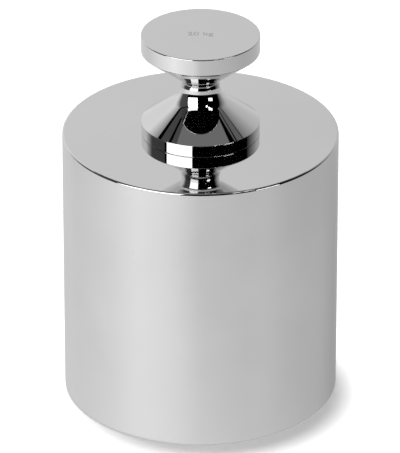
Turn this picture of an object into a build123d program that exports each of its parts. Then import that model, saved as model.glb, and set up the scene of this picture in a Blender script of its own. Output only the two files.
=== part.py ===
from build123d import *
from math import pi, radians, sin, tan
import os

# Knob-type calibration weight, nominal value 20 kg, turned in polished stainless steel.
# Millimetres, +Z up, origin at the middle of the base: the weight stands on Z = 0.
# It is a turned cylinder with a tapped adjusting chamber, loose shot in that chamber, and a
# spool-shaped lifting knob whose shank screws in from the top and closes the chamber.

# Body: outside
body_diameter = 145.0
body_height = 148.5
top_edge_radius = 1.2
base_edge_radius = 1.6
foot_width = 12.0
base_recess_depth = 0.8

# Body: tapped bore and adjusting chamber, all measured down from the top face
thread_diameter = 24.0
thread_depth = 30.0
mouth_chamfer = 1.2
chamber_diameter = 22.4
chamber_depth = 58.0
drill_point_angle = 118.0

# Knob: flange and flank
flange_diameter = 62.2
flange_height = 6.4
flange_edge_radius = 0.4
flank_angle = 36.1

# Knob: neck
neck_diameter = 19.9
neck_foot_radius = 11.9
neck_head_radius = 4.3
neck_land = 0.2

# Knob: disc, with a conical underside that the fingers or a lifting fork go under
disc_diameter = 62.2
disc_thickness = 9.0
disc_edge_radius = 0.5
underside_angle = 38.0
grip_height = 47.2

# Knob: shank
thread_clearance = 0.05
shank_length = 26.0
shank_end_chamfer = 1.0
relief_depth = 1.4
relief_width = 3.0

# Adjusting shot
shot_diameter = 5.0
shot_count = 3
shot_gap = 0.02

body_radius = body_diameter / 2
chamber_radius = chamber_diameter / 2
bore_radius = thread_diameter / 2
shank_radius = bore_radius - thread_clearance
flange_radius = flange_diameter / 2
neck_radius = neck_diameter / 2
disc_radius = disc_diameter / 2
shot_radius = shot_diameter / 2

drill_half_angle = radians(drill_point_angle / 2)
chamber_floor = body_height - chamber_depth
chamber_tip = chamber_floor - chamber_radius / tan(drill_half_angle)
thread_floor = body_height - thread_depth


def turned(points, roundings):
    """Turn an outline of (distance from the axis, height) points about Z.

    roundings holds (distance, height, radius) for each corner that is rounded first.
    """
    outline = make_face(Polyline(*[(r, 0, z) for r, z in points], close=True))
    for r, z, radius in roundings:
        corner = outline.vertices().sort_by_distance((r, 0, z))[0]
        outline = fillet(corner, radius)
    return revolve(outline, Axis.Z)


def make_body():
    """The cylinder, with its tapped bore, drilled chamber and relieved base."""
    recess_radius = body_radius - base_edge_radius - foot_width
    points = [
        (0, chamber_tip),
        (chamber_radius, chamber_floor),
        (chamber_radius, thread_floor),
        (bore_radius, thread_floor),
        (bore_radius, body_height - mouth_chamfer),
        (bore_radius + mouth_chamfer, body_height),
        (body_radius, body_height),
        (body_radius, 0),
        (recess_radius, 0),
        (recess_radius - base_recess_depth, base_recess_depth),
        (0, base_recess_depth),
    ]
    roundings = [
        (body_radius, body_height, top_edge_radius),
        (body_radius, 0, base_edge_radius),
    ]
    return turned(points, roundings)


def make_knob():
    """Disc, neck, flank, flange and shank, turned as one piece.

    It is a spool: one straight cone rises from the flange's edge to the neck, another opens
    from the neck to the disc's lower edge, and a hollow arc joins each of them to the neck.
    Both arcs end on the neck, so a neck too short for them makes them smaller together.
    """
    seat = body_height
    flange_top = seat + flange_height
    neck_foot = flange_top + (flange_radius - neck_radius) * tan(radians(flank_angle))
    underside = seat + grip_height
    neck_head = underside - (disc_radius - neck_radius) * tan(radians(underside_angle))
    foot_arc_height = neck_foot_radius * tan(radians(90 - flank_angle) / 2)
    head_arc_height = neck_head_radius * tan(radians(90 - underside_angle) / 2)
    arcs_height = neck_head - neck_foot - neck_land
    arc_share = min(1, arcs_height / (foot_arc_height + head_arc_height))
    top = underside + disc_thickness
    shank_end = seat - shank_length
    relief_radius = shank_radius - relief_depth
    points = [
        (0, shank_end),
        (shank_radius - shank_end_chamfer, shank_end),
        (shank_radius, shank_end + shank_end_chamfer),
        (shank_radius, seat - relief_width),
        (relief_radius, seat - relief_width + relief_depth),
        (relief_radius, seat),
        (flange_radius, seat),
        (flange_radius, flange_top),
        (neck_radius, neck_foot),
        (neck_radius, neck_head),
        (disc_radius, underside),
        (disc_radius, top),
        (0, top),
    ]
    roundings = [
        (flange_radius, seat, flange_edge_radius),
        (flange_radius, flange_top, flange_edge_radius),
        (neck_radius, neck_foot, neck_foot_radius * arc_share),
        (neck_radius, neck_head, neck_head_radius * arc_share),
        (disc_radius, underside, disc_edge_radius),
        (disc_radius, top, disc_edge_radius),
    ]
    return turned(points, roundings)


def make_shot():
    """Round shot lying in a ring on the cone that the drill left, each ball beside the next."""
    ring_radius = (shot_diameter + shot_gap) / (2 * sin(pi / shot_count))
    ring_height = chamber_tip + shot_radius / sin(drill_half_angle) + ring_radius / tan(drill_half_angle)
    ring = PolarLocations(ring_radius, shot_count)
    return Compound(children=[Pos(0, 0, ring_height) * place * Sphere(shot_radius) for place in ring])


os.makedirs("parts", exist_ok=True)
export_step(make_body(), "parts/body.step")
export_step(make_knob(), "parts/lifting_knob.step")
export_step(make_shot(), "parts/adjusting_shot.step")
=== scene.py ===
"""Polished steel calibration weight: turned body, lifting knob, adjusting shot and value mark."""
import math
import bpy
import numpy as np
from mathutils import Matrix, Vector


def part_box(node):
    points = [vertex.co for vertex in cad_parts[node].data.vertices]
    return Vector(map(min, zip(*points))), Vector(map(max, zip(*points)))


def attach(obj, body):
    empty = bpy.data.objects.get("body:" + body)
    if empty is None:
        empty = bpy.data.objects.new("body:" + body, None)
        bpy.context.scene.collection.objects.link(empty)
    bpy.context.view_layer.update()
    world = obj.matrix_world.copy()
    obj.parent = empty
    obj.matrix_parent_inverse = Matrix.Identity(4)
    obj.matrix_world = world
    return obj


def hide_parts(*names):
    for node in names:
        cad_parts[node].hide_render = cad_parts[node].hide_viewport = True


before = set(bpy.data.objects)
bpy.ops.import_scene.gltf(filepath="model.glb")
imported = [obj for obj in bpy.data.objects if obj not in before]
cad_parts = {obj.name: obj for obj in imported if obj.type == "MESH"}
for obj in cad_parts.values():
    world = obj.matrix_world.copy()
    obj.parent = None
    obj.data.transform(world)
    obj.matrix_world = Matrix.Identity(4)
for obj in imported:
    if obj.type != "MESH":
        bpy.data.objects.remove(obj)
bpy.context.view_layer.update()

MM = 0.001


def solid_radius(node):
    """Radius of a turned CAD node: the smallest reach of its box across the axis."""
    low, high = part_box(node)
    return min(-low.x, -low.y, high.x, high.y)


# Sizes in metres. The overall ones are read from the frame.
BODY_RADIUS = solid_radius("body")
BODY_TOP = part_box("body")[1].z
KNOB_RADIUS = solid_radius("lifting_knob")
SHANK_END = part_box("lifting_knob")[0].z
KNOB_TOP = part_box("lifting_knob")[1].z

# Body
TOP_EDGE = 1.2 * MM
BASE_EDGE = 1.6 * MM
FOOT_WIDTH = 12.0 * MM
RECESS_DEPTH = 0.8 * MM
BORE_RADIUS = 12.0 * MM
THREAD_DEPTH = 30.0 * MM
MOUTH_CHAMFER = 1.2 * MM
CHAMBER_RADIUS = 11.2 * MM
CHAMBER_DEPTH = 58.0 * MM
DRILL_HALF_ANGLE = math.radians(59.0)

# Knob
FLANGE_HEIGHT = 6.4 * MM
FLANGE_EDGE = 0.4 * MM
FLANK_ANGLE = math.radians(36.1)
NECK_RADIUS = 9.95 * MM
NECK_FOOT = 11.9 * MM
NECK_HEAD = 4.3 * MM
UNDERSIDE_ANGLE = math.radians(38.0)
DISC_THICKNESS = 9.0 * MM
DISC_EDGE = 0.5 * MM
SHANK_RADIUS = 11.95 * MM
SHANK_CHAMFER = 1.0 * MM
RELIEF_DEPTH = 1.4 * MM
RELIEF_WIDTH = 3.0 * MM

# Thread, M24 x 1.5
PITCH = 1.5 * MM
SHANK_THREAD = 0.9 * MM
BORE_THREAD = 0.7 * MM
FLANK_SLOPE = 1.35
CREST_FLAT = 0.15
RINGS_A_TURN = 8

# Shot
SHOT_RADIUS = 2.5 * MM
SHOT_COUNT = 3
SHOT_GAP = 0.02 * MM

# Value mark
MARK_TEXT = "20 kg"
MARK_HEIGHT = 5.4 * MM
MARK_WIDTH = 13.4 * MM
MARK_RELIEF = 0.03 * MM

# Meshing
SEGMENTS = 320
SUPPORT = 0.02 * MM
FINE_STEP = math.radians(2.5)
EDGE_STEP = math.radians(7.5)
SMALL_RADIUS = 2.0 * MM
BALL_ROUND = 48
BALL_UP = 24
SHARP_ANGLE = math.radians(28.0)


# ---------------------------------------------------------------- surfaces


def rounded(corners):
    """Section outline from corners of (distance from axis, height, rounding radius).

    A rounded corner becomes the arc that touches both its sides. The centre lies on the
    bisector, radius / sin(half angle) from the corner. A support point follows just past
    each end of the arc, so the flats beside it stay flat in smooth shading.
    """
    points = [np.array(corners[0][:2])]
    for before, here, after in zip(corners, corners[1:], corners[2:]):
        corner, radius = np.array(here[:2]), here[2]
        if radius == 0:
            points.append(corner)
            continue
        back = np.array(before[:2]) - corner
        ahead = np.array(after[:2]) - corner
        back /= np.hypot(*back)
        ahead /= np.hypot(*ahead)
        half = math.acos(np.clip(back @ ahead, -1, 1)) / 2
        bisector = (back + ahead) / np.hypot(*(back + ahead))
        centre = corner + bisector * radius / math.sin(half)
        start = corner + back * radius / math.tan(half)
        end = corner + ahead * radius / math.tan(half)
        first = math.atan2(*(start - centre)[::-1])
        sweep = math.atan2(*(end - centre)[::-1]) - first
        sweep = (sweep + math.pi) % (2 * math.pi) - math.pi
        step = EDGE_STEP if radius < SMALL_RADIUS else FINE_STEP
        angles = first + sweep * np.linspace(0, 1, math.ceil(abs(sweep) / step) + 1)
        arc = centre + radius * np.stack([np.cos(angles), np.sin(angles)], axis=1)
        points += [start + back * SUPPORT, *arc, end + ahead * SUPPORT]
    points.append(np.array(corners[-1][:2]))
    return np.array(points)


def with_rings(outline, low, high, spacing):
    """The outline with extra points between two heights of one straight wall, evenly spaced."""
    inside = np.flatnonzero((outline[:-1, 0] == outline[1:, 0]) & (outline[:-1, 0] > 0)
                            & (np.minimum(outline[:-1, 1], outline[1:, 1]) <= low + 1e-9)
                            & (np.maximum(outline[:-1, 1], outline[1:, 1]) >= high - 1e-9))
    at = inside[0]
    heights = np.arange(math.ceil(low / spacing), math.floor(high / spacing) + 1) * spacing
    if outline[at, 1] > outline[at + 1, 1]:
        heights = heights[::-1]
    wall = np.stack([np.full(len(heights), outline[at, 0]), heights], axis=1)
    return np.vstack([outline[:at + 1], wall, outline[at + 1:]])


def thread_wave(low, high, depth):
    """How far a thread cuts in, at height z and angle a.

    A triangle wave of z / pitch - a / full turn, clipped flat at crest and root, times the
    depth, faded out over one pitch at each end.
    """
    def wave(z, a):
        phase = (z / PITCH - a / (2 * math.pi)) % 1.0
        flank = 1 - np.abs(2 * phase - 1)
        groove = np.clip(FLANK_SLOPE * flank - CREST_FLAT, 0, 1)
        run_out = np.clip((z - low) / PITCH, 0, 1) * np.clip((high - z) / PITCH, 0, 1)
        return depth * run_out * groove
    return wave


def build_mesh(name, points, faces):
    """A mesh from points and blocks of faces, turned outward if its volume is negative."""
    volume = 0.0
    for block in faces:
        corners = points[block]
        for k in range(1, block.shape[1] - 1):
            cross = np.cross(corners[:, k], corners[:, k + 1])
            volume += np.einsum("ij,ij->", corners[:, 0], cross)
    if volume < 0:
        faces = [block[:, ::-1] for block in faces]
    mesh = bpy.data.meshes.new(name)
    mesh.from_pydata(points.tolist(), [], [f for block in faces for f in block.tolist()])
    mesh.update()
    return mesh


def lathe(name, outline, cut=None):
    """A turned surface: ring i, segment j lies at (r cos a, r sin a, z).

    r and z come from outline point i, a is j / segments of a turn, and cut(z, a) is taken
    off r where it is given. The outline starts and ends on the axis, at one point each.
    """
    angle = 2 * math.pi * np.arange(SEGMENTS) / SEGMENTS
    radius = outline[1:-1, :1] * np.ones(SEGMENTS)
    height = outline[1:-1, 1:] * np.ones(SEGMENTS)
    if cut:
        radius = radius - cut(height, angle[None, :])
    rings = np.stack([radius * np.cos(angle), radius * np.sin(angle), height], axis=2)
    poles = np.array([[0, 0, outline[0, 1]], [0, 0, outline[-1, 1]]])
    points = np.vstack([rings.reshape(-1, 3), poles])
    count = len(rings)
    index = np.arange(count * SEGMENTS).reshape(count, SEGMENTS)
    turned = np.roll(index, -1, axis=1)
    quads = np.stack([index[:-1], turned[:-1], turned[1:], index[1:]], axis=2).reshape(-1, 4)
    first_pole = np.full(SEGMENTS, count * SEGMENTS)
    first = np.stack([first_pole, turned[0], index[0]], axis=1)
    last = np.stack([first_pole + 1, index[-1], turned[-1]], axis=1)
    return build_mesh(name, points, [quads, np.vstack([first, last])])


def balls(name, centres, radius):
    """Spheres: point (i, j) of each is centre + radius (sin t cos a, sin t sin a, cos t)."""
    t = np.linspace(0, math.pi, BALL_UP + 1)
    a = 2 * math.pi * np.arange(BALL_ROUND) / BALL_ROUND
    shell = np.stack([np.outer(np.sin(t), np.cos(a)), np.outer(np.sin(t), np.sin(a)),
                      np.outer(np.cos(t), np.ones(BALL_ROUND))], axis=2)[1:-1].reshape(-1, 3)
    shell = radius * np.vstack([shell, [[0, 0, 1], [0, 0, -1]]])
    index = np.arange((BALL_UP - 1) * BALL_ROUND).reshape(BALL_UP - 1, BALL_ROUND)
    turned = np.roll(index, -1, axis=1)
    quads = np.stack([index[:-1], index[1:], turned[1:], turned[:-1]], axis=2).reshape(-1, 4)
    pole = np.full(BALL_ROUND, (BALL_UP - 1) * BALL_ROUND)
    top = np.stack([pole, index[0], turned[0]], axis=1)
    foot = np.stack([pole + 1, turned[-1], index[-1]], axis=1)
    tris = np.vstack([top, foot])
    points = np.vstack([shell + c for c in centres])
    shift = len(shell) * np.arange(len(centres))[:, None, None]
    return build_mesh(name, points, [(quads + shift).reshape(-1, 4), (tris + shift).reshape(-1, 3)])


# ---------------------------------------------------------------- materials


def add(tree, kind, **values):
    """A node of this kind. Names with a capital are its sockets, the others its settings."""
    node = tree.nodes.new(kind)
    for key, value in values.items():
        if key[0].isupper():
            socket = node.inputs[key.replace("_", " ")]
            if isinstance(value, bpy.types.NodeSocket):
                tree.links.new(value, socket)
            else:
                socket.default_value = value
        else:
            setattr(node, key, value)
    return node


def maths(tree, operation, *terms):
    """A Math node on these numbers or sockets."""
    node = add(tree, "ShaderNodeMath", operation=operation)
    for socket, term in zip(node.inputs, terms):
        if isinstance(term, bpy.types.NodeSocket):
            tree.links.new(term, socket)
        else:
            socket.default_value = term
    return node.outputs[0]


def new_group(name, inputs, outputs):
    """An empty node group with number inputs (name, default), a Vector input and number outputs."""
    group = bpy.data.node_groups.new(name, "ShaderNodeTree")
    group.interface.new_socket("Vector", in_out="INPUT", socket_type="NodeSocketVector")
    for label, default in inputs:
        socket = group.interface.new_socket(label, in_out="INPUT", socket_type="NodeSocketFloat")
        socket.default_value = default
    for label in outputs:
        group.interface.new_socket(label, in_out="OUTPUT", socket_type="NodeSocketFloat")
    return group, group.nodes.new("NodeGroupInput"), group.nodes.new("NodeGroupOutput")


def turning_marks_group():
    """Fine tool lines: one-dimensional noise of a position that is constant along each line."""
    group, given, out = new_group(
        "turning_marks", [("Along Axis", 0.0), ("Lines per metre", 2500.0)], ["Height"])
    parts = add(group, "ShaderNodeSeparateXYZ", Vector=given.outputs["Vector"])
    across = maths(group, "SQRT", maths(group, "ADD",
                   maths(group, "POWER", parts.outputs["X"], 2.0),
                   maths(group, "POWER", parts.outputs["Y"], 2.0)))
    place = add(group, "ShaderNodeMix", data_type="FLOAT")
    group.links.new(given.outputs["Along Axis"], place.inputs[0])
    group.links.new(across, place.inputs[2])
    group.links.new(parts.outputs["Z"], place.inputs[3])
    lines = add(group, "ShaderNodeTexNoise", noise_dimensions="1D", Detail=3.0, Roughness=0.6)
    group.links.new(place.outputs[0], lines.inputs["W"])
    group.links.new(given.outputs["Lines per metre"], lines.inputs["Scale"])
    group.links.new(lines.outputs["Fac"], out.inputs["Height"])
    return group


def polish_haze_group():
    """Where the polish is a little duller: broad clouds plus sparse hairlines, 0 to 1."""
    group, given, out = new_group(
        "polish_haze", [("Cloud size", 18.0), ("Hairlines", 0.5)], ["Haze"])
    clouds = add(group, "ShaderNodeTexNoise", Vector=given.outputs["Vector"], Detail=4.0,
                 Roughness=0.55)
    group.links.new(given.outputs["Cloud size"], clouds.inputs["Scale"])
    broad = add(group, "ShaderNodeMapRange", Value=clouds.outputs["Fac"])
    broad.inputs["From Min"].default_value = 0.35
    broad.inputs["From Max"].default_value = 0.75
    streak = add(group, "ShaderNodeMapping", Vector=given.outputs["Vector"])
    streak.inputs["Rotation"].default_value = (0.4, 0.9, 0.6)
    streak.inputs["Scale"].default_value = (1400.0, 60.0, 60.0)
    hair = add(group, "ShaderNodeTexNoise", Vector=streak.outputs[0], Scale=1.0, Detail=2.0)
    fine = add(group, "ShaderNodeMapRange", Value=hair.outputs["Fac"])
    fine.inputs["From Min"].default_value = 0.68
    fine.inputs["From Max"].default_value = 0.8
    scratch = maths(group, "MULTIPLY", fine.outputs[0], given.outputs["Hairlines"])
    total = maths(group, "ADD", maths(group, "MULTIPLY", broad.outputs[0], 0.6), scratch)
    group.links.new(maths(group, "MINIMUM", total, 1.0), out.inputs["Haze"])
    return group


STEEL = (0.62, 0.62, 0.62, 1.0)
STEEL_DULL = (0.585, 0.585, 0.585, 1.0)
ALL_DULL = (STEEL_DULL, STEEL_DULL)


def steel(name, roughness, haze_roughness, line_depth, along_axis=0.0, anisotropy=0.0,
          colours=(STEEL, STEEL_DULL)):
    """Bare stainless steel: polished base, haze that dulls it, and turning lines as fine bump."""
    material = bpy.data.materials.new(name)
    material.use_nodes = True
    tree = material.node_tree
    shader = tree.nodes["Principled BSDF"]
    shader.inputs["Metallic"].default_value = 1.0
    place = add(tree, "ShaderNodeTexCoord").outputs["Object"]
    haze = add(tree, "ShaderNodeGroup", node_tree=HAZE, Vector=place).outputs["Haze"]
    tint = add(tree, "ShaderNodeMix", data_type="RGBA")
    tree.links.new(haze, tint.inputs["Factor"])
    tint.inputs[6].default_value, tint.inputs[7].default_value = colours
    tree.links.new(tint.outputs[2], shader.inputs["Base Color"])
    rough = maths(tree, "MULTIPLY_ADD", haze, haze_roughness, roughness)
    tree.links.new(rough, shader.inputs["Roughness"])
    marks = add(tree, "ShaderNodeGroup", node_tree=MARKS, Vector=place)
    marks.inputs["Along Axis"].default_value = along_axis
    bump = add(tree, "ShaderNodeBump", Height=marks.outputs["Height"], Strength=1.0,
               Distance=line_depth)
    tree.links.new(bump.outputs["Normal"], shader.inputs["Normal"])
    if anisotropy:
        shader.inputs["Anisotropic"].default_value = anisotropy
        shader.inputs["Anisotropic Rotation"].default_value = 0.25
        tangent = add(tree, "ShaderNodeTangent", direction_type="RADIAL", axis="Z")
        tree.links.new(tangent.outputs["Tangent"], shader.inputs["Tangent"])
    return material


HAZE = polish_haze_group()
MARKS = turning_marks_group()


# ---------------------------------------------------------------- pieces


def make_piece(name, mesh, body, node, materials, face_material=None):
    """A finished piece: smooth shading split at sharp edges, its materials with each face's
    material slot, its body, and its CAD node hidden.
    """
    for material in materials:
        mesh.materials.append(material)
    if face_material is not None:
        mesh.polygons.foreach_set("material_index", face_material.astype(np.int32))
    mesh.shade_smooth()
    mesh.set_sharp_from_angle(angle=SHARP_ANGLE)
    piece = bpy.data.objects.new(name, mesh)
    bpy.context.scene.collection.objects.link(piece)
    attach(piece, body)
    if node:
        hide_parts(node)
    return piece


def face_centres(mesh):
    """Distance from the axis and height of each face's middle."""
    centres = np.empty(len(mesh.polygons) * 3)
    mesh.polygons.foreach_get("center", centres)
    centres = centres.reshape(-1, 3)
    return np.hypot(centres[:, 0], centres[:, 1]), centres[:, 2]


def make_body():
    """The cylinder with its tapped bore, drilled chamber and relieved base."""
    thread_floor = BODY_TOP - THREAD_DEPTH
    chamber_floor = BODY_TOP - CHAMBER_DEPTH
    chamber_tip = chamber_floor - CHAMBER_RADIUS / math.tan(DRILL_HALF_ANGLE)
    thread_top = BODY_TOP - MOUTH_CHAMFER
    recess_radius = BODY_RADIUS - BASE_EDGE - FOOT_WIDTH
    outline = rounded([
        (0, chamber_tip, 0),
        (CHAMBER_RADIUS, chamber_floor, 0),
        (CHAMBER_RADIUS, thread_floor, 0),
        (BORE_RADIUS, thread_floor, 0),
        (BORE_RADIUS, thread_top, 0),
        (BORE_RADIUS + MOUTH_CHAMFER, BODY_TOP, 0),
        (BODY_RADIUS, BODY_TOP, TOP_EDGE),
        (BODY_RADIUS, 0, BASE_EDGE),
        (recess_radius, 0, 0),
        (recess_radius - RECESS_DEPTH, RECESS_DEPTH, 0),
        (0, RECESS_DEPTH, 0),
    ])
    outline = with_rings(outline, thread_floor + SUPPORT, thread_top - SUPPORT,
                         PITCH / RINGS_A_TURN)

    def bore_thread(z, a):
        wave = thread_wave(thread_floor, thread_top, BORE_THREAD)(z, a)
        in_bore = np.abs(outline[1:-1, :1] - BORE_RADIUS) < SUPPORT
        return np.where(in_bore, wave, 0)

    mesh = lathe("body_turned", outline, bore_thread)
    radius, height = face_centres(mesh)
    wall = (radius > BODY_RADIUS - SUPPORT) & (height < BODY_TOP - TOP_EDGE)
    base = height < BASE_EDGE
    inside = (radius < BORE_RADIUS + MOUTH_CHAMFER) & (height < BODY_TOP - SUPPORT) & ~base
    kind = np.select([base, inside, wall], [3, 2, 1], 0)
    materials = [
        steel("polished_top_steel", 0.03, 0.03, 0.00002 * MM),
        steel("turned_wall_steel", 0.24, 0.05, 0.0004 * MM, along_axis=1.0, anisotropy=0.85),
        steel("bored_steel", 0.3, 0.1, 0.01 * MM, along_axis=1.0, colours=ALL_DULL),
        steel("faced_base_steel", 0.22, 0.1, 0.004 * MM, colours=ALL_DULL),
    ]
    return make_piece("body_turned", mesh, "weight", "body", materials, kind)


def make_knob():
    """Disc, grip, neck, flank, flange and threaded shank, turned as one piece."""
    flange_top = BODY_TOP + FLANGE_HEIGHT
    neck_foot = flange_top + (KNOB_RADIUS - NECK_RADIUS) * math.tan(FLANK_ANGLE)
    top = KNOB_TOP - MARK_RELIEF
    underside = KNOB_TOP - DISC_THICKNESS
    neck_head = underside - (KNOB_RADIUS - NECK_RADIUS) * math.tan(UNDERSIDE_ANGLE)
    relief_radius = SHANK_RADIUS - RELIEF_DEPTH
    thread_top = BODY_TOP - RELIEF_WIDTH
    thread_low = SHANK_END + SHANK_CHAMFER
    outline = rounded([
        (0, SHANK_END, 0),
        (SHANK_RADIUS - SHANK_CHAMFER, SHANK_END, 0),
        (SHANK_RADIUS, thread_low, 0),
        (SHANK_RADIUS, thread_top, 0),
        (relief_radius, thread_top + RELIEF_DEPTH, 0),
        (relief_radius, BODY_TOP, 0),
        (KNOB_RADIUS, BODY_TOP, FLANGE_EDGE),
        (KNOB_RADIUS, flange_top, FLANGE_EDGE),
        (NECK_RADIUS, neck_foot, NECK_FOOT),
        (NECK_RADIUS, neck_head, NECK_HEAD),
        (KNOB_RADIUS, underside, DISC_EDGE),
        (KNOB_RADIUS, top, DISC_EDGE),
        (0, top, 0),
    ])
    outline = with_rings(outline, thread_low + SUPPORT, thread_top - SUPPORT,
                         PITCH / RINGS_A_TURN)

    def shank_thread(z, a):
        wave = thread_wave(thread_low, thread_top, SHANK_THREAD)(z, a)
        on_shank = np.abs(outline[1:-1, :1] - SHANK_RADIUS) < SUPPORT
        return np.where(on_shank & (z < thread_top), wave, 0)

    mesh = lathe("knob_turned", outline, shank_thread)
    radius, height = face_centres(mesh)
    rim = (radius > KNOB_RADIUS - SUPPORT) & (height > underside + DISC_EDGE)
    shank = height < BODY_TOP - SUPPORT
    kind = np.select([shank, rim & (height < top - DISC_EDGE)], [2, 1], 0)
    materials = [
        steel("polished_knob_steel", 0.03, 0.03, 0.00002 * MM),
        steel("polished_rim_steel", 0.12, 0.05, 0.0002 * MM, along_axis=1.0),
        steel("threaded_steel", 0.25, 0.1, 0.004 * MM, along_axis=1.0, colours=ALL_DULL),
    ]
    return make_piece("knob_turned", mesh, "knob", "lifting_knob", materials, kind)


def make_shot():
    """The adjusting shot: a ring of balls on the cone that the drill left."""
    floor = BODY_TOP - CHAMBER_DEPTH
    tip = floor - CHAMBER_RADIUS / math.tan(DRILL_HALF_ANGLE)
    ring = (2 * SHOT_RADIUS + SHOT_GAP) / (2 * math.sin(math.pi / SHOT_COUNT))
    height = tip + SHOT_RADIUS / math.sin(DRILL_HALF_ANGLE) + ring / math.tan(DRILL_HALF_ANGLE)
    angles = 2 * math.pi * np.arange(SHOT_COUNT) / SHOT_COUNT
    centres = np.stack([ring * np.cos(angles), ring * np.sin(angles),
                        np.full(SHOT_COUNT, height)], axis=1)
    mesh = balls("shot_balls", centres, SHOT_RADIUS)
    material = steel("shot_steel", 0.32, 0.15, 0.01 * MM, colours=ALL_DULL)
    return make_piece("shot_balls", mesh, "weight", "adjusting_shot", [material])


def make_mark():
    """The nominal value, etched on the disc: flat letters, their face level with the disc's top."""
    curve = bpy.data.curves.new("mark_letters", "FONT")
    curve.body = MARK_TEXT
    curve.align_x = "CENTER"
    curve.align_y = "CENTER"
    curve.extrude = 0.5
    letters = bpy.data.objects.new("mark_letters", curve)
    bpy.context.scene.collection.objects.link(letters)
    bpy.context.view_layer.update()
    shape = letters.evaluated_get(bpy.context.evaluated_depsgraph_get())
    mesh = bpy.data.meshes.new_from_object(shape)
    bpy.data.objects.remove(letters)
    points = np.empty(len(mesh.vertices) * 3)
    mesh.vertices.foreach_get("co", points)
    points = points.reshape(-1, 3)
    points -= (points.min(axis=0) + points.max(axis=0)) / 2
    points *= np.array([MARK_WIDTH, MARK_HEIGHT, 2 * MARK_RELIEF]) / np.ptp(points, axis=0)
    points[:, 2] += KNOB_TOP - MARK_RELIEF
    mesh.vertices.foreach_set("co", points.ravel())
    mesh.name = "value_mark"
    mesh.materials.clear()
    material = steel("etched_steel", 0.5, 0.1, 0.01 * MM)
    return make_piece("value_mark", mesh, "knob", None, [material])


make_body()
make_knob()
make_shot()
make_mark()


# ---------------------------------------------------------------- studio

STUDIO_RADIUS = 1.1
STUDIO_HEIGHT = 172 * MM
PATCH_ROUND = 73
PATCH_UP = 13
FLOOR_RADIUS = 2.2
FLOOR_SEGMENTS = 96

# What the steel mirrors: name, azimuths and elevations in degrees, brightness and share of
# the studio's radius. Azimuth 0 is the camera's side and 90 is +X.
CARDS = [
    ("soft_window", (-68, -16), (7, 56), 2.9, 1.0),
    ("left_strip", (-120, -70), (49, 57.3), 0.085, 1.0),
    ("left_shade", (-125, -60), (60, 65), 0.09, 0.99),
    ("back_strip", (101, 240), (46, 52.3), 0.16, 1.0),
    ("high_back_strip", (101, 240), (53.7, 60), 0.16, 1.0),
    ("ceiling", (-180, 180), (60, 90), 0.22, 1.0),
    ("round_lamp", (31, 39), (44, 53), 4.0, 0.98),
    ("long_lamp", (44, 64), (9, 22), 4.0, 0.98),
    ("high_lamp", (46, 57), (51, 58), 4.0, 0.98),
]

# The shell behind the cards: its light on the floor, and its share of the studio's radius.
FILL = 0.45
SHELL_REACH = 1.02

# Painted studio light, brightness by azimuth: the backdrop fades to both sides; the table carries
# # a painted pool of light, brightest under the window, and painted shade, dimmest to the right
# # and back. The far table has a step where the window ends.
BACKDROP_GLOW = [(-180, 0.86), (-131, 1.05), (-108, 0.1), (101, 0.02), (137, 0.66), (180, 0.86)]
FAR_TABLE_GLOW = [(-180, 0.8), (-115, 0.88), (-51, 1.35), (-12, 1.05), (0, 0.78), (90, 0.6),
                  (180, 0.7)]
TABLE_GLOW = [(-180, 0.65), (-140, 0.88), (-52, 1.15), (10, 1.03), (115, 0.7), (150, 0.43),
              (180, 0.65)]
TABLE_SPLIT = -26.6
HORIZON = -6.6
GLOW_TOP = 2.0

# Light that the floor adds where the camera sees it, so that it comes out white.
CAMERA_LIFT = 0.15


def dome_patch(name, azimuths, elevations, reach):
    """Part of a sphere: centre + radius (sin az cos el, -cos az cos el, sin el)."""
    az = np.radians(np.linspace(*azimuths, PATCH_ROUND))
    el = np.radians(np.linspace(*elevations, PATCH_UP))
    across, up = np.meshgrid(az, el)
    points = np.stack([np.sin(across) * np.cos(up), -np.cos(across) * np.cos(up), np.sin(up)],
                      axis=2).reshape(-1, 3)
    points *= reach * STUDIO_RADIUS
    points[:, 2] += STUDIO_HEIGHT
    index = np.arange(PATCH_ROUND * PATCH_UP).reshape(PATCH_UP, PATCH_ROUND)
    quads = np.stack([index[:-1, :-1], index[1:, :-1], index[1:, 1:], index[:-1, 1:]], axis=2)
    mesh = bpy.data.meshes.new(name)
    mesh.from_pydata(points.tolist(), [], quads.reshape(-1, 4).tolist())
    return mesh


def glow_by_azimuth(tree, stops):
    """Brightness round the Z axis: a ramp over the azimuth atan2(x, -y)."""
    place = add(tree, "ShaderNodeTexCoord").outputs["Object"]
    parts = add(tree, "ShaderNodeSeparateXYZ", Vector=place)
    ahead = maths(tree, "MULTIPLY", parts.outputs["Y"], -1.0)
    azimuth = maths(tree, "ARCTAN2", parts.outputs["X"], ahead)
    turn = maths(tree, "MULTIPLY_ADD", azimuth, 1 / (2 * math.pi), 0.5)
    ramp = add(tree, "ShaderNodeValToRGB", Fac=turn)
    steps = ramp.color_ramp.elements
    steps.remove(steps[1])
    for number, (degrees, level) in enumerate(stops):
        share = degrees / 360 + 0.5
        step = steps[0] if number == 0 else steps.new(share)
        step.position = share
        step.color = (level / GLOW_TOP, level / GLOW_TOP, level / GLOW_TOP, 1)
    return maths(tree, "MULTIPLY", ramp.outputs["Color"], GLOW_TOP)


def make_dome(name, azimuths, elevations, reach):
    """A glowing patch of the studio, hidden from the camera, that lets the lamp through."""
    material = bpy.data.materials.new(name)
    material.use_nodes = True
    tree = material.node_tree
    tree.nodes.clear()
    glow = add(tree, "ShaderNodeEmission")
    out = add(tree, "ShaderNodeOutputMaterial")
    tree.links.new(glow.outputs[0], out.inputs["Surface"])
    dome = bpy.data.objects.new(name, dome_patch(name, azimuths, elevations, reach))
    dome.data.materials.append(material)
    dome.data.shade_smooth()
    dome.visible_camera = False
    dome.visible_shadow = False
    bpy.context.scene.collection.objects.link(dome)
    return dome, material, glow.inputs["Strength"]


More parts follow.
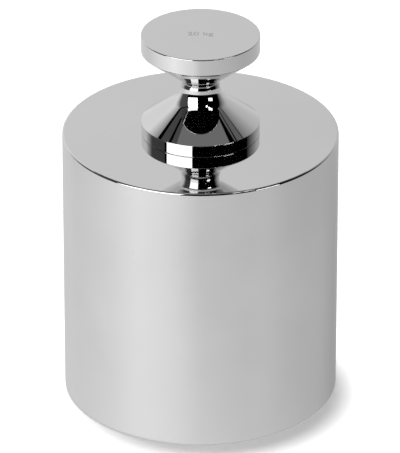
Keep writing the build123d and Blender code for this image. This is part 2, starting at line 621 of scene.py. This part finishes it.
def make_card(name, azimuths, elevations, shine=0.0, reach=1.0, stops=None):
    """A studio card that the steel mirrors. It leaves the floor's light to the shell."""
    card, material, strength = make_dome(name, azimuths, elevations, reach)
    strength.default_value = shine
    if stops:
        tree = material.node_tree
        tree.links.new(glow_by_azimuth(tree, stops), strength)
        material.cycles.emission_sampling = "NONE"
    card.visible_diffuse = False


def make_surround():
    """The shell, black to the steel and an even fill to the floor, and the table's two parts."""
    around = (-180, 180)
    _, material, strength = make_dome("shell", around, (-90, 90), SHELL_REACH)
    tree = material.node_tree
    path = add(tree, "ShaderNodeLightPath")
    tree.links.new(maths(tree, "MULTIPLY", path.outputs["Is Diffuse Ray"], FILL), strength)
    material.cycles.emission_sampling = "NONE"
    make_card("far_table", around, (TABLE_SPLIT, HORIZON), stops=FAR_TABLE_GLOW)
    make_card("near_table", around, (-90, TABLE_SPLIT), stops=TABLE_GLOW)


def make_floor():
    """A pale floor that keeps the shadow, lifted to white where the camera sees it."""
    angle = 2 * math.pi * np.arange(FLOOR_SEGMENTS) / FLOOR_SEGMENTS
    points = FLOOR_RADIUS * np.stack([np.cos(angle), np.sin(angle), 0 * angle], axis=1)
    mesh = bpy.data.meshes.new("floor")
    mesh.from_pydata(points.tolist(), [], [list(range(FLOOR_SEGMENTS))])
    material = bpy.data.materials.new("pale_floor")
    material.use_nodes = True
    tree = material.node_tree
    shader = tree.nodes["Principled BSDF"]
    shader.inputs["Base Color"].default_value = (0.9, 0.9, 0.9, 1)
    shader.inputs["Roughness"].default_value = 0.9
    shader.inputs["Specular IOR Level"].default_value = 0.0
    shader.inputs["Emission Color"].default_value = (1, 1, 1, 1)
    path = add(tree, "ShaderNodeLightPath")
    lift = maths(tree, "MULTIPLY", path.outputs["Is Camera Ray"], CAMERA_LIFT)
    tree.links.new(lift, shader.inputs["Emission Strength"])
    mesh.materials.append(material)
    floor = bpy.data.objects.new("floor", mesh)
    floor.visible_glossy = False
    bpy.context.scene.collection.objects.link(floor)


SUN_AZIMUTH = math.radians(-155)
SUN_ELEVATION = math.radians(84)
SUN_SIZE = math.radians(8)
SUN_STRENGTH = 2.8


def make_sun():
    """A soft overhead lamp behind and to the left. It throws the short shadow on the floor."""
    data = bpy.data.lights.new("overhead_lamp", "SUN")
    data.energy = SUN_STRENGTH
    data.angle = SUN_SIZE
    lamp = bpy.data.objects.new("overhead_lamp", data)
    lamp.rotation_euler = (math.pi / 2 - SUN_ELEVATION, 0, SUN_AZIMUTH)
    lamp.visible_glossy = False
    bpy.context.scene.collection.objects.link(lamp)


def make_world():
    """White to the camera and in the steel; it adds no light of its own."""
    world = bpy.data.worlds.new("studio")
    bpy.context.scene.world = world
    world.use_nodes = True
    tree = world.node_tree
    path = add(tree, "ShaderNodeLightPath")
    shown = maths(tree, "MAXIMUM", path.outputs["Is Camera Ray"],
                  maths(tree, "MAXIMUM", path.outputs["Is Glossy Ray"],
                        path.outputs["Is Transmission Ray"]))
    background = tree.nodes["Background"]
    background.inputs["Color"].default_value = (1, 1, 1, 1)
    tree.links.new(shown, background.inputs["Strength"])


AIM_HEIGHT = 91.9 * MM
CAMERA_X = -0.27 * MM
CAMERA_ELEVATION = math.radians(27.72)
CAMERA_DISTANCE = 2.977
LENS = 447.7
SENSOR = 36.0


def make_camera():
    """A long lens in front, looking down on the weight."""
    data = bpy.data.cameras.new("camera")
    data.lens = LENS
    data.sensor_width = SENSOR
    data.sensor_fit = "AUTO"
    data.clip_end = 20.0
    camera = bpy.data.objects.new("camera", data)
    bpy.context.scene.collection.objects.link(camera)
    back = math.cos(CAMERA_ELEVATION) * CAMERA_DISTANCE
    camera.location = (CAMERA_X, -back, AIM_HEIGHT + math.sin(CAMERA_ELEVATION) * CAMERA_DISTANCE)
    camera.rotation_euler = (math.pi / 2 - CAMERA_ELEVATION, 0, 0)
    bpy.context.scene.camera = camera


for card in CARDS:
    make_card(*card)
make_card("pale_backdrop", (101, 287), (HORIZON, 45), stops=BACKDROP_GLOW)
make_surround()
make_floor()
make_sun()
make_world()
make_camera()
bpy.context.scene.view_settings.view_transform = "Standard"
